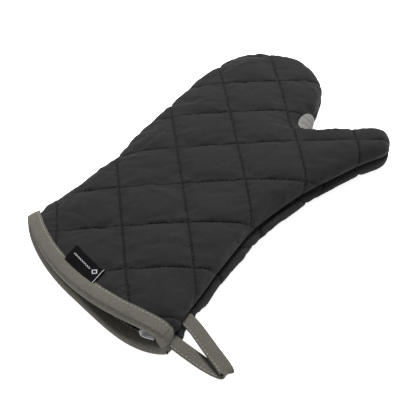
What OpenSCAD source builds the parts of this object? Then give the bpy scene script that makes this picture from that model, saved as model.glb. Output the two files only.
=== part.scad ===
// Quilted oven mitt with a thumb: two padded panels seamed round the edge, a bound mouth, a hanging loop and labels.
// It lies on its lower panel. +Y points to the fingertips, +X to the thumb side, +Z up.

/* [Outline] */
// Scale of the cut outline; 1 makes a mitt about 380 mm long
outline_scale = 1; // [0.9:0.01:1.15]
// How far the mouth edge of the upper panel bows out past a straight cut
upper_bow = 24; // [10:1:30]
// How far the mouth edge of the lower panel bows out
lower_bow = 15; // [5:1:25]

/* [Heights] */
// Height of the edge seam above the table
seam_z = 12; // [10:0.5:14]
// Height of the hand at its fullest
hand_z = 34; // [30:1:42]
// Height of the mouth at its middle
mouth_z = 31; // [28:1:38]
// Height of the fingertips and the thumb
tip_z = 27; // [25:1:30]

/* [Layers] */
// Thickness of the outer cotton shell
shell_t = 1; // [0.8:0.1:1.2]
// Thickness of the batting
batting_t = 4.5; // [3.5:0.5:5]
// Thickness of the lining
lining_t = 0.8; // [0.6:0.1:1]
// Distance between parallel quilting lines
quilt_pitch = 52; // [40:1:60]
// Width of a line of stitching
stitch_w = 1; // [0.8:0.1:1.4]

/* [Trim] */
// Visible width of the mouth binding
binding_w = 12; // [8:1:14]
// Thickness of the binding tape
binding_t = 0.8; // [0.6:0.1:1]
// Width of the hanging loop's tape
loop_w = 12; // [8:0.5:13]
// Thickness of the hanging loop's tape
loop_t = 1.6; // [1.2:0.1:2]
// Thickness of the two labels
label_t = 0.4; // [0.3:0.1:0.6]

/* [Hidden] */

// The outline from the thumb-side mouth corner round the thumb and fingers to the other corner.
// Each row is an edge point and, behind it, the ridge point of the padding.
ridge = [[-24, -158], [-31, -97], [-39, -38], [-42, 18], [-40, 64], [26, 101], [41, 123], [-74, 112], [-84, 142], [-89, 162]];
outline = [
    [66, -178, 0], [47, -100, 1], [35, -35, 2], [36, 20, 3], [45, 68, 4], [53, 100, 5], [60, 126, 6],
    [46, 144, 6], [20, 134, 5], [-7, 109, 4], [-20, 127, 7], [-30, 150, 8], [-47, 178, 9], [-87, 198, 9],
    [-124, 185, 9], [-137, 155, 8], [-136, 118, 7], [-130, 72, 4], [-122, 12, 3], [-113, -40, 2],
    [-110, -92, 1], [-114, -139, 0]];
ridge_z = [mouth_z, mouth_z + 1, hand_z - 1, hand_z, hand_z, tip_z + 2, tip_z, hand_z - 2, tip_z + 2, tip_z];
steps = 3;                       // points on the smooth edge for each control point
last = len(outline) - 1;
count = last * steps;            // index of the last edge point
rings = [0, 0.04, 0.12, 0.26, 0.46, 0.7, 1];   // how far each ring lies from the edge to the ridge
top = len(rings) - 1;
seam_gap = 0.6;                  // the seam stitches hold the panels this far apart
panel_t = shell_t + batting_t + lining_t;
touch = 0.1;                     // gap left between the tape and the curved panel it covers
fit = 0.3;                       // clearance between pieces that move against each other
flat_from = 0.35;                // the lower panel is flat from this share of the way to the ridge
bow_rows = 6;                    // the bow of the mouth fades over this many points
centre_x = -13;                  // middle of the outline and the loop, left to right
centre_y = 6;                    // middle of the outline, mouth to fingertips
chord = [outline[0][0] - outline[last][0], outline[0][1] - outline[last][1]];
along = chord / norm(chord);     // along the mouth towards the thumb side
out = [along[1], -along[0]];     // out of the mouth

function control(i) =
    i < 0 ? 2 * control(0) - control(1)
    : i > last ? 2 * control(last) - control(last - 1)
    : [outline[i][0] - centre_x, outline[i][1] - centre_y] * outline_scale;
function curve(a, b, c, d, t) =
    0.5 * ((2 * b) + (c - a) * t + (2 * a - 5 * b + 4 * c - d) * t * t + (3 * b - a - 3 * c + d) * t * t * t);
function edge_point(i) =
    let (c = floor(i / steps), t = i / steps - c)
    curve(control(c - 1), control(c), control(c + 1), control(c + 2), t);
edge = [for (i = [0:count]) edge_point(i)];

// Ridge of the padding: one chain of points up the hand, one into the thumb and one into the fingers
function ridge_point(n) = [ridge[n][0] - centre_x, ridge[n][1] - centre_y] * outline_scale;
chain_ends = [[0, 1], [1, 2], [2, 3], [3, 4], [4, 5], [5, 6], [4, 7], [7, 8], [8, 9]];
spine = concat(
    [[for (v = ridge_point(0)) v, ridge_z[0]]],
    [for (e = chain_ends) for (s = [1:steps])
        let (p = ridge_point(e[0]), q = ridge_point(e[1]), t = s / steps)
        concat(p + (q - p) * t, [ridge_z[e[0]] + (ridge_z[e[1]] - ridge_z[e[0]]) * t])]);
fork = 4 * steps;                // where the thumb leaves the hand
thumb_end = 6 * steps;
finger_end = 9 * steps;
// Which spine point faces each edge point: up the hand, round the thumb, round the fingers and back down
function spine_of(i) =
    i <= thumb_end ? i
    : i <= 7 * steps ? thumb_end
    : i <= 9 * steps ? 13 * steps - i
    : i <= 12 * steps ? i - 3 * steps
    : i <= 14 * steps ? finger_end
    : i < 17 * steps ? 23 * steps - i
    : count - i;

function inward(i) =
    i == 0 ? -along
    : i == count ? along
    : let (d = edge[i + 1] - edge[i - 1]) [-d[1], d[0]] / norm(d);
function mouth_fade(s) = s < bow_rows ? 1 - s / bow_rows : 0;
function rise(u, full) = let (v = 1 - min(1, u / full)) sqrt(1 - v * v);
function lift(s) = (binding_t + touch) * min(1, max(0, (bow_rows - s) / (bow_rows - 1)));

// A point of the padding: edge index i, share u of the way to the ridge, depth d below the outer face
function skin(i, u, d, upper) =
    let (s = spine_of(i), q = edge[i] + inward(i) * d, r = spine[s],
         bow = (upper ? upper_bow : lower_bow) * mouth_fade(s) * (1 - (1 - u) * (1 - u)),
         p = q + ([r[0], r[1]] - q) * u + out * bow,
         z = upper ? seam_z + seam_gap / 2 + (r[2] - d - seam_z - seam_gap / 2) * rise(u, 1)
                   : seam_z - seam_gap / 2 - (seam_z - seam_gap / 2 - lift(s) - d) * rise(u, flat_from))
    [p[0], p[1], z];

// One layer of a panel, between two depths
function ring_points(d, upper) = concat(
    [for (i = [0:count]) for (k = [0:top - 1]) skin(i, rings[k], d, upper)],
    [for (s = [0:finger_end]) skin(first_edge(s), 1, d, upper)]);
function first_edge(s) = s <= thumb_end ? s : s + 3 * steps;
face_points = (count + 1) * top + finger_end + 1;
function at(i, k) = k < top ? i * top + k : (count + 1) * top + spine_of(i);
function quad_up(a, b, c, d) = concat([[a, b, c]], c == d ? [] : [[a, c, d]]);
outer_faces = [for (i = [0:count - 1]) for (k = [0:top - 1])
    for (f = quad_up(at(i, k), at(i + 1, k), at(i + 1, k + 1), at(i, k + 1))) f];
function shifted(faces, n) = [for (f = faces) [for (v = f) v + n]];
function flipped(faces) = [for (f = faces) [f[2], f[1], f[0]]];
function strip(a, b, c, d) = [[a, c, b], [a, d, c]];
rim = concat(
    [for (i = [0:count - 1]) [i, 0]], [for (k = [0:top - 1]) [count, k]], [[0, top]],
    [for (k = [top - 1:-1:1]) [0, k]]);
rim_faces = [for (n = [0:len(rim) - 1])
    let (a = rim[n], b = rim[(n + 1) % len(rim)])
    for (f = strip(at(a[0], a[1]), at(b[0], b[1]), face_points + at(b[0], b[1]), face_points + at(a[0], a[1]))) f];
layer_faces = concat(flipped(outer_faces), shifted(outer_faces, face_points), flipped(rim_faces));

module layer(d0, d1, upper) {
    points = concat(ring_points(d0, upper), ring_points(d1, upper));
    polyhedron(points, upper ? layer_faces : flipped(layer_faces));
}

// Stitching lines both ways across the hand, on the bias
module quilt_lines() {
    reach = 8;
    translate([-centre_x, -centre_y, -1])
        for (turn = [45, -45], n = [-reach:reach])
            rotate(turn)
                translate([n * quilt_pitch - stitch_w / 2, -300, 0])
                    cube([stitch_w, 600, 60]);
}

// A closed tube of sections, each a list with the same number of points
module sections(rows, ring = false) {
    m = len(rows[0]);
    n = len(rows);
    points = [for (r = rows) for (p = r) p];
    spans = ring ? n : n - 1;
    sides = [for (j = [0:spans - 1]) for (k = [0:m - 1])
        let (a = j * m + k, b = j * m + (k + 1) % m, c = ((j + 1) % n) * m + (k + 1) % m, d = ((j + 1) % n) * m + k)
        for (f = [[a, b, c], [a, c, d]]) f];
    caps = ring ? [] : [[for (k = [m - 1:-1:0]) k], [for (k = [0:m - 1]) (n - 1) * m + k]];
    polyhedron(points, concat(flipped(sides), [for (c = caps) [for (k = [len(c) - 1:-1:0]) c[k]]]));
}

// Columns round the mouth: across the upper panel from the thumb side, and back across the lower panel
mouth_columns = concat(
    [for (k = [0:top]) [0, k, true]], [for (k = [top - 1:-1:0]) [count, k, true]],
    [for (k = [0:top]) [count, k, false]], [for (k = [top - 1:-1:0]) [0, k, false]]);
// A point near the mouth: distance y back from the edge, at share u across, along the first rows of points
function near_mouth(i, u, d, upper, y) =
    let (step = i == 0 ? 1 : -1, a = skin(i, u, d, upper), b = skin(i + step, u, d, upper),
         c = skin(i + 2 * step, u, d, upper), first = norm(b - a))
    y <= first ? a + (b - a) * y / first : b + (c - b) * (y - first) / norm(c - b);
function binding_section(c) =
    let (i = c[0], u = rings[c[1]], up = c[2], o = touch, inn = panel_t + touch)
    [near_mouth(i, u, -o, up, binding_w), near_mouth(i, u, -o - binding_t, up, binding_w),
     near_mouth(i, u, -o - binding_t, up, -binding_t), near_mouth(i, u, inn + binding_t, up, -binding_t),
     near_mouth(i, u, inn + binding_t, up, binding_w), near_mouth(i, u, inn, up, binding_w),
     near_mouth(i, u, inn, up, -touch), near_mouth(i, u, -o, up, -touch)];
function binding_stitch_section(c) =
    let (i = c[0], u = rings[c[1]], up = c[2], o = touch + binding_t, y = binding_w - 2)
    [near_mouth(i, u, -o, up, y), near_mouth(i, u, -o, up, y - stitch_w / 2),
     near_mouth(i, u, panel_t + o, up, y - stitch_w / 2), near_mouth(i, u, panel_t + o, up, y)];

// Hanging loop: out along one strand, folded at the tip and back underneath; each row is x, y, z of the tape's middle
loop_route = [
    [59.7, -147.2, 12], [69, -149.8, 11.6], [79, -153, 9.4], [89, -156.2, 6.8], [98, -159.2, 5], [105, -161.8, 4],
    [109, -163.6, 3.2], [110.2, -164.6, 2.3], [108, -165.3, 1.2], [101, -166.2, 0.9], [91, -166.9, 1.8],
    [81, -167.7, 4.2], [73, -168.6, 6.8], [66, -169.4, 9.4]];
strand_end = 6;                  // the last point of the upper strand
seam_run = [5.2, -20.7];         // the side seam's direction where the loop is caught in it
function placed(p) = [(p[0] - centre_x) * outline_scale, (p[1] - centre_y) * outline_scale, p[2]];
route_last = len(loop_route) - 1;
// The tape's width direction: along the seam at both roots, square to the strand elsewhere
function route_side(j) =
    let (a = loop_route[max(0, j - 1)], b = loop_route[min(route_last, j + 1)],
         d = [b[0] - a[0], b[1] - a[1]] * (j <= strand_end ? 1 : -1))
    j == 0 || j == route_last ? -seam_run / norm(seam_run)
    : abs(d[0]) < 3 ? [0.25, 0.97] : [-d[1], d[0]] / norm(d);
function route_up(j) =
    let (a = loop_route[max(0, j - 1)], b = loop_route[min(route_last, j + 1)],
         run = b[0] - a[0], climb = b[2] - a[2], m = norm([run, climb]))
    [-climb / m, 0, run / m];
function loop_section(j, y0, y1, t) =
    let (p = placed(loop_route[j]), s = route_side(j), up = route_up(j), w = [s[0], s[1], 0])
    [p + w * y0 + up * t / 2, p + w * y1 + up * t / 2, p + w * y1 - up * t / 2, p + w * y0 - up * t / 2];
function loop_sections(y0, y1, t, from = 0, to = route_last) =
    [for (j = [from:to]) loop_section(j, y0, y1, t)];

module upper_shell() { color("#2e2f31") layer(0, shell_t, true); }
module upper_batting() { color("#e8e4da") layer(shell_t, shell_t + batting_t, true); }
module upper_lining() { color("#3a3a3c") layer(shell_t + batting_t, panel_t, true); }
module lower_shell() { color("#2e2f31") layer(0, shell_t, false); }
module lower_batting() { color("#e8e4da") layer(shell_t, shell_t + batting_t, false); }
module lower_lining() { color("#3a3a3c") layer(shell_t + batting_t, panel_t, false); }

module upper_quilting_thread() {
    color("#151515")
        intersection() {
            layer(0, shell_t, true);
            quilt_lines();
        }
}

module lower_quilting_thread() {
    color("#151515")
        intersection() {
            layer(0, shell_t, false);
            quilt_lines();
        }
}

// Stitching that holds the two panels together, run inside the edge
module edge_seam_thread() {
    seam_depth = 3;
    rows = [for (i = [0:count])
        [for (c = [[0, true], [stitch_w, true], [stitch_w, false], [0, false]])
            skin(i, 0, seam_depth + c[0], c[1])]];
    color("#151515") sections(rows);
}

// Patch folded over the fork between the thumb and the fingers
module web_guard() {
    from = 24;
    to = 31;
    rows = [for (i = [from:to])
        let (w = 0.02 + 0.16 * sin(180 * (i - from) / (to - from)), d0 = -touch, d1 = -touch - 0.8)
        [for (c = [[w, d0, true], [w, d1, true], [w / 3, d1, true], [0, d1, true], [0, d1, false],
                   [w / 3, d1, false], [w, d1, false], [w, d0, false], [w / 3, d0, false], [0, d0, false],
                   [0, d0, true], [w / 3, d0, true]])
            skin(i, c[0], c[1], c[2])]];
    color("#8f8d8a") sections(rows);
}

module cuff_binding() {
    color("#78736c") sections([for (c = mouth_columns) binding_section(c)], true);
}

module binding_thread() {
    color("#857f77") sections([for (c = mouth_columns) binding_stitch_section(c)], true);
}

module hanging_loop() {
    color("#625d57") sections(loop_sections(-loop_w / 2, loop_w / 2, loop_t));
}

// Edge stitching through the loop's tape, down the side away from the mouth on the upper strand
module loop_thread() {
    inset = 1.2;
    edge_y = loop_w / 2 - inset;
    color("#77726a") sections(loop_sections(edge_y - stitch_w / 2, edge_y, loop_t + 0.1, 0, strand_end));
}

// Woven label caught under the inner edge of the binding, lying on the upper panel
module cuff_label() {
    root_y = binding_w + 1.6;
    label_reach = 11.5;
    // shares above 1 are past the middle, on the thumb side
    shares = [for (k = [0:6]) 0.85 + 0.415 * k / 6];
    rows = [for (s = shares) let (i = s <= 1 ? count : 0, u = s <= 1 ? s : 2 - s)
        [near_mouth(i, u, -fit, true, root_y), near_mouth(i, u, -fit, true, root_y + label_reach),
         near_mouth(i, u, -fit - label_t, true, root_y + label_reach),
         near_mouth(i, u, -fit - label_t, true, root_y)]];
    color("#0e0e10") sections(rows);
}

// Care label sewn into the side seam, just inside the mouth on the thumb side
module care_label() {
    depth = panel_t + 1.8;
    shares = [0.03, 0.07, 0.12, 0.17, 0.22];
    rows = [for (u = shares)
        [near_mouth(0, u, depth, true, 1), near_mouth(0, u, depth, true, 24),
         near_mouth(0, u, depth + label_t, true, 24), near_mouth(0, u, depth + label_t, true, 1)]];
    color("#eceae6") sections(rows);
}

upper_shell();
upper_batting();
upper_lining();
lower_shell();
lower_batting();
lower_lining();
upper_quilting_thread();
lower_quilting_thread();
edge_seam_thread();
web_guard();
cuff_binding();
binding_thread();
hanging_loop();
loop_thread();
cuff_label();
care_label();
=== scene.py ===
"""A quilted oven mitt: two padded panels seamed round the edge, a bound mouth, a hanging loop and two labels.

It lies on its lower panel. +Y points to the fingertips, +X to the thumb side. Lengths are in metres.
"""
import math

import bpy
import numpy as np
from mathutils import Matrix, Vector
from mathutils.bvhtree import BVHTree


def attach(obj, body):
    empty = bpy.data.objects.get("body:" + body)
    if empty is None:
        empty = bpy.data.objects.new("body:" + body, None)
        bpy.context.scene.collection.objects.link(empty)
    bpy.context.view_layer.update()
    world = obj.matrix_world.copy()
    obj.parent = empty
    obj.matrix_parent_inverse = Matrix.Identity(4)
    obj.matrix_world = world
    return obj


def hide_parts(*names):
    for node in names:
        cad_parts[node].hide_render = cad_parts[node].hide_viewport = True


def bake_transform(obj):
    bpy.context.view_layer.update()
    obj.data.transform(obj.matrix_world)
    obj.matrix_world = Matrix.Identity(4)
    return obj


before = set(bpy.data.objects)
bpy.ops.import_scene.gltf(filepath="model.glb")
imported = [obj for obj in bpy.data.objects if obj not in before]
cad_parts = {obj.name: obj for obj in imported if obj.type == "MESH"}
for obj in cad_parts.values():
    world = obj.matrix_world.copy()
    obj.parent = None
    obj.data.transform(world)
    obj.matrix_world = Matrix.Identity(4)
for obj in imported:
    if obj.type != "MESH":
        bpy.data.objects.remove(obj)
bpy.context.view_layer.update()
MM = 0.001
RNG = np.random.default_rng(7)

# ---------------------------------------------------------------- sizes
CENTRE = np.array([-13.0, 6.0])     # middle of the drawn outline
QUILT_PITCH = 52 * MM
SEAM_Z = 12 * MM
SEAM_GAP = 0.6 * MM
HAND_Z = 31.5 * MM
MOUTH_Z = 30 * MM
TIP_Z = 27 * MM
UPPER_BOW = 24 * MM
LOWER_BOW = 17 * MM
PANEL_T = 6.3 * MM
SHELL_T = 0.8 * MM
BINDING_T = 0.8 * MM
LOOP_W = 12 * MM
CELL = 2 * MM                       # cloth mesh size

# Edge points from the thumb-side mouth corner round the thumb and fingers, and the ridge behind them
OUTLINE = [(66, -178), (47, -100), (35, -35), (36, 20), (45, 68), (53, 100), (60, 126), (46, 144), (20, 134),
           (-7, 109), (-20, 127), (-30, 150), (-47, 178), (-87, 198), (-124, 185), (-137, 155), (-136, 118),
           (-130, 72), (-122, 12), (-113, -40), (-110, -92), (-114, -139)]
RIDGE_XY = [(-24, -158), (-31, -97), (-39, -38), (-42, 18), (-40, 64), (26, 101), (41, 123), (-74, 112),
            (-84, 142), (-89, 162)]
RIDGE_Z = [MOUTH_Z, MOUTH_Z + MM, HAND_Z - MM, HAND_Z, HAND_Z, TIP_Z + 2 * MM, TIP_Z, HAND_Z - 2 * MM,
           TIP_Z + 2 * MM, TIP_Z]
LAST = len(OUTLINE) - 1             # the outline's parameter runs from 0 to LAST
CROTCH = 9                          # outline point in the fork of the thumb
BOW_FADE = 2.0                      # the mouth's bow fades over this many outline points
FLAT_FROM = 0.30                    # share of the way in from which the lower panel is flat
FULL, SLACK = 3.4, 1.2              # how boxy the padded wall is, and how much less so in the fork


def in_frame(points):
    return (np.array(points, float) - CENTRE) * MM


EDGE_CONTROL = in_frame(OUTLINE)
EDGE_CONTROL = np.vstack([2 * EDGE_CONTROL[0] - EDGE_CONTROL[1], EDGE_CONTROL,
                          2 * EDGE_CONTROL[-1] - EDGE_CONTROL[-2],
                          3 * EDGE_CONTROL[-1] - 2 * EDGE_CONTROL[-2]])
RIDGE = np.column_stack([in_frame(RIDGE_XY), RIDGE_Z])
HAND_RIDGE, FINGER_RIDGE = RIDGE[:7], RIDGE[[4, 7, 8, 9]]
CHORD = EDGE_CONTROL[1] - EDGE_CONTROL[LAST + 1]
HALF_MOUTH = np.linalg.norm(CHORD) / 2
ALONG = CHORD / np.linalg.norm(CHORD)           # along the mouth, to the thumb side
OUT = np.array([ALONG[1], -ALONG[0]])           # out of the mouth
MOUTH_MID = (EDGE_CONTROL[1] + EDGE_CONTROL[LAST + 1]) / 2


# ---------------------------------------------------------------- points, curves and grids
def unit(vectors):
    return vectors / np.linalg.norm(vectors, axis=-1, keepdims=True)


def smooth(x, low, high):
    """Goes smoothly from 0 at low to 1 at high."""
    t = np.clip((x - low) / (high - low), 0, 1)
    return t * t * (3 - 2 * t)


def curve(p0, p1, p2, p3, t):
    """The smooth curve from p1 at t = 0 to p2 at t = 1, led by the points before and after."""
    return 0.5 * (2 * p1 + (p2 - p0) * t + (2 * p0 - 5 * p1 + 4 * p2 - p3) * t**2
                  + (3 * p1 - p0 - 3 * p2 + p3) * t**3)


def along_row(points):
    """Running length along rows of points."""
    step = np.linalg.norm(np.diff(points, axis=0), axis=-1)
    return np.concatenate([[0], np.cumsum(step)])


def grid_faces(rows, columns, around=False):
    """Quads over a grid of points. Around joins the last column to the first."""
    r = np.arange(rows - 1)[:, None]
    k = np.arange(columns if around else columns - 1)[None, :]
    after = (k + 1) % columns
    near, far = r * columns, (r + 1) * columns
    quads = np.stack([near + k, near + after, far + after, far + k], -1)
    return quads.reshape(-1, 4)


def edges_of(faces):
    return np.concatenate([faces[:, [k, (k + 1) % 4]] for k in range(4)])


def neighbour_mean(points, pairs):
    """The mean of the points that each point shares an edge with."""
    total = np.zeros_like(points)
    for a, b in ((0, 1), (1, 0)):
        np.add.at(total, pairs[:, a], points[pairs[:, b]])
    return total / np.bincount(pairs.ravel(), minlength=len(points))[:, None]


def surface(points, faces):
    """A surface on which a ray finds its height."""
    return BVHTree.FromPolygons([tuple(p) for p in points], [tuple(f) for f in faces])


# ---------------------------------------------------------------- the mitt's form
def edge_at(c):
    """Points of the smooth outline at parameters c."""
    c = np.clip(np.asarray(c, float), 0, LAST)
    k = np.minimum(np.floor(c).astype(int), LAST - 1)
    return curve(*(EDGE_CONTROL[k + j] for j in range(4)), (c - k)[..., None])


def inward_at(c):
    """Unit vectors from the outline into the mitt."""
    step = 0.02
    d = edge_at(np.minimum(c + step, LAST)) - edge_at(np.maximum(c - step, 0))
    return unit(np.stack([-d[..., 1], d[..., 0]], -1))


def ridge_at(c):
    """The ridge's points and heights beside the outline at c, and their distance from the mouth in points."""
    c = np.asarray(c, float)
    stretches = [c <= 6, c <= 7, c <= 9, c <= 12, c <= 14, c < 17]
    s = np.select(stretches, [c, 6 + 0 * c, 13 - c, c - 3, 9 + 0 * c, 23 - c], LAST - c)
    finger = (c > 9) & (c < 17)
    point = np.stack([np.where(finger, np.interp(s, np.arange(6, 10), FINGER_RIDGE[:, j]),
                               np.interp(s, np.arange(7), HAND_RIDGE[:, j])) for j in range(3)], -1)
    return point[..., :2], point[..., 2], np.where(finger, 9.0, s)


def rise(u, full, c):
    """Height share of the padded wall: steep at the seam, softer in the fork of the thumb."""
    v = 1 - np.minimum(1, u / full)
    power = FULL - SLACK * np.exp(-(((c - CROTCH) / 1.3) ** 2))
    return np.maximum(0, 1 - v**power) ** (1 / power)


def bow_share(u, left, upper):
    """Share of the mouth's bow, 0 at a corner to 1 in the middle. The lower lip is fuller by the thumb."""
    power = 2.0 if upper else np.where(left, 2.2, 4.5)
    return 1 - (1 - u) ** power


# How far the padded wall leans out over the seam at each outline point, in millimetres
UPPER_LEAN = [0, 0, 0, 0, 0, 0, -0.5, -2.4, -3.6, -4.4, -3.6, -1.6, -0.6, -0.4, 0.3, 2.8, 5.2, 5.0, 2.2, 0,
              -0.6, -0.4]
LOWER_LEAN = [3.4, 5.6, 7, 6.2, 2.6, 1.4, -1.5, -1.2, -1.5, -1.5, -1.5, -1, 0, 0.5, 1, 2, 3, 3, 2, 1,
              0.5, 0.5]


def skin(c, u, depth, upper):
    """Points of the padding at c along the outline, share u of the way to the ridge, depth below its face."""
    c, u = np.broadcast_arrays(np.asarray(c, float), np.asarray(u, float))
    inward = inward_at(c)
    q = edge_at(c) + inward * np.asarray(depth)[..., None]
    ridge, ridge_z, back = ridge_at(c)
    fade = np.clip(1 - back / BOW_FADE, 0, 1)
    bow = (UPPER_BOW if upper else LOWER_BOW) * fade * bow_share(u, c > LAST / 2, upper)
    raised = rise(u, 1 if upper else FLAT_FROM, c)
    lean = np.interp(c, np.arange(LAST + 1), UPPER_LEAN if upper else LOWER_LEAN) * MM
    lean = lean * np.sin(math.pi * raised ** (1.6 if upper else 1.2))
    xy = q + (ridge - q) * u[..., None] + OUT * bow[..., None] - inward * lean[..., None]
    if upper:
        low = SEAM_Z + SEAM_GAP / 2
        z = low + (ridge_z - depth - low) * raised
    else:
        high = SEAM_Z - SEAM_GAP / 2
        lift = (BINDING_T + 0.1 * MM) * np.clip((BOW_FADE - back) * 3 / 5, 0, 1)
        z = high - (high - lift - depth) * raised
    return np.concatenate([xy, z[..., None]], -1)


def fast_dome(upper):
    """The padding's outer face as a fine mesh, for looking up heights."""
    c = np.linspace(0, LAST, LAST * 8 + 1)
    u = 1 - np.cos(np.linspace(0, math.pi / 2, 22))
    grid = skin(c[:, None], u[None, :], 0.0, upper)
    return surface(grid.reshape(-1, 3), grid_faces(*grid.shape[:2])[:, [0, 3, 2, 1]])


DOME = {True: fast_dome(True), False: fast_dome(False)}


def dome_height(xy, upper):
    """Height of the dome at each plan point, and the seam's height beside it."""
    start, way = (0.1, (0, 0, -1)) if upper else (-0.1, (0, 0, 1))
    out = np.full(len(xy), SEAM_Z)
    for j, (x, y) in enumerate(xy):
        hit = DOME[upper].ray_cast((x, y, start), way)[0]
        if hit is not None:
            out[j] = hit.z
    return out


# ---------------------------------------------------------------- the cut of a panel
# The flat cloth is larger than the mitt's plan: it also covers the padded wall and turns into the seam.
WALL = 18 * MM                      # plan distance over which the wall's curve is followed
TURN_IN = 3.4 * MM                  # cloth turned into the seam
LIP = 2.5 * MM                      # radius of the round lip where the cloth rolls into the seam
STEPS = 24                          # places looked at between two outline points
SHEET_CELLS = 234                   # cells along each side of the square cloth that a panel is cut from
OUTLINE_C = np.linspace(0, LAST, LAST * STEPS + 1)
OUTLINE_P = edge_at(OUTLINE_C)
OUTLINE_N = inward_at(OUTLINE_C)


def wall_profiles(upper):
    """The wall inside each outline place: its arc length, and the plan distances and heights along it."""
    tables = []
    ridge = ridge_at(OUTLINE_C)[0]
    reach = np.linalg.norm(ridge - OUTLINE_P, axis=1)
    for j in range(len(OUTLINE_C)):
        u = np.linspace(0, 1, 60) ** 2.2 * min(1.0, WALL / reach[j] * 1.15)
        point = skin(OUTLINE_C[j], u, 0.0, upper)
        plan = (point[:, :2] - OUTLINE_P[j]) @ OUTLINE_N[j]
        z = point[:, 2]
        keep = plan <= WALL
        plan, z = plan[keep], z[keep]
        sign = 1 if upper else -1
        base = SEAM_Z + sign * SEAM_GAP / 2
        angle = np.linspace(0, 0.42 * math.pi, 8)
        lip_t = LIP * (1 - np.sin(angle))
        lip_z = base + sign * LIP * (1 - np.cos(angle))
        over = (z - base) * sign > LIP * 0.9
        plan = np.concatenate([[TURN_IN], lip_t, plan[over]])
        z = np.concatenate([[base], lip_z, z[over]])
        arc = np.concatenate([[0], np.cumsum(np.hypot(np.diff(plan), np.diff(z)))])
        even = np.linspace(0, arc[-1], 64)
        tables.append((arc[-1], np.interp(even, arc, plan), np.interp(even, arc, z)))
    return tuple(np.array(column) for column in zip(*tables))


def cut_panel(upper):
    """Flat cloth on a bias grid, trimmed to the panel's cut.

    Returns its points, their places on the grid, its faces, the wall it covers and the mouth's half width.
    """
    arc, wall_t, wall_z = wall_profiles(upper)
    spare = arc - wall_t[:, -1]
    near_fork = np.exp(-(((OUTLINE_C - CROTCH) / 0.7) ** 2))
    spare = spare * (1 - 0.45 * near_fork)
    window = np.ones(25) / 25
    spare = np.convolve(np.pad(spare, 12, mode="edge"), window, "valid")
    cut = OUTLINE_P - OUTLINE_N * spare[:, None]
    bow = UPPER_BOW if upper else LOWER_BOW
    a = np.linspace(-1, 1, 60)[1:-1]
    wide = HALF_MOUTH + spare[0]
    bowed = bow * bow_share(1 - np.abs(a), a < 0, upper)
    mouth = MOUTH_MID + ALONG * (a * wide)[:, None] + OUT * bowed[:, None]
    border = np.vstack([cut, mouth])
    bpy.ops.object.select_all(action="DESELECT")
    bpy.ops.mesh.primitive_grid_add(x_subdivisions=SHEET_CELLS, y_subdivisions=SHEET_CELLS,
                                    size=SHEET_CELLS * CELL)
    sheet = bpy.context.object
    mesh = sheet.data
    flat = np.zeros(len(mesh.vertices) * 3)
    mesh.vertices.foreach_get("co", flat)
    lattice = flat.reshape(-1, 3)[:, :2]
    s = math.sqrt(0.5)
    xy = np.stack([(lattice[:, 0] - lattice[:, 1]) * s, (lattice[:, 0] + lattice[:, 1]) * s], 1) - CENTRE * MM
    inside = in_polygon(xy, border)
    faces = np.zeros(len(mesh.polygons) * 4, int)
    mesh.polygons.foreach_get("vertices", faces)
    keep = faces.reshape(-1, 4)[inside[faces.reshape(-1, 4)].sum(1) >= 3]
    used, keep = np.unique(keep, return_inverse=True)
    keep = keep.reshape(-1, 4)
    xy, lattice = xy[used], lattice[used]
    xy = onto_border(xy, keep, border)
    bpy.data.objects.remove(sheet)
    return xy, lattice, keep, (wall_t, wall_z, spare), wide


def in_polygon(points, polygon):
    x, y = points[:, 0], points[:, 1]
    inside = np.zeros(len(points), bool)
    for (x0, y0), (x1, y1) in zip(polygon, np.roll(polygon, -1, 0)):
        cross = (y0 > y) != (y1 > y)
        if abs(y1 - y0) > 1e-12:
            inside ^= cross & (x < (x1 - x0) * (y - y0) / (y1 - y0) + x0)
    return inside


def nearest_on(points, line, closed):
    """Nearest point on a polyline for each point: its place, and the position along the line in segments."""
    a = line if closed else line[:-1]
    b = np.roll(line, -1, 0) if closed else line[1:]
    best = np.full(len(points), np.inf)
    spot = np.zeros((len(points), 2))
    where = np.zeros(len(points))
    for j in range(len(a)):
        d = b[j] - a[j]
        t = np.clip(((points - a[j]) @ d) / max(d @ d, 1e-18), 0, 1)
        p = a[j] + t[:, None] * d
        r = ((points - p) ** 2).sum(1)
        m = r < best
        best[m], spot[m], where[m] = r[m], p[m], j + t[m]
    return spot, where, np.sqrt(best)


def border_vertices(faces):
    """The vertices on the rim of a mesh, and the two ends of each of its edges."""
    pairs, uses = np.unique(np.sort(edges_of(faces), axis=1), axis=0, return_counts=True)
    return np.unique(pairs[uses == 1]), pairs


def onto_border(xy, faces, border):
    """Moves the jagged rim onto the true cut line and evens out the cells beside it."""
    rim, pairs = border_vertices(faces)
    xy = xy.copy()
    xy[rim] = nearest_on(xy[rim], border, True)[0]
    fixed = np.ones(len(xy), bool)
    beside = np.unique(pairs[np.isin(pairs, rim).any(1)])
    fixed[beside] = False
    fixed[rim] = True
    for _ in range(4):
        mean = neighbour_mean(xy, pairs)
        xy[~fixed] = 0.6 * xy[~fixed] + 0.4 * mean[~fixed]
    return xy


# ---------------------------------------------------------------- from the flat cloth to the padded panel
def between(rows, where, share=None):
    """Values of rows at fractional row numbers, and at a share along each row where the rows are lists."""
    j = np.clip(np.floor(where).astype(int), 0, len(rows) - 2)
    t = where - j
    if share is None:
        if rows.ndim > 1:
            t = t[:, None]
        return rows[j] * (1 - t) + rows[j + 1] * t
    k = np.clip(np.floor(share * (rows.shape[1] - 1)).astype(int), 0, rows.shape[1] - 2)
    r = share * (rows.shape[1] - 1) - k
    a = rows[j, k] * (1 - r) + rows[j, k + 1] * r
    b = rows[j + 1, k] * (1 - r) + rows[j + 1, k + 1] * r
    return a * (1 - t) + b * t


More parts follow.
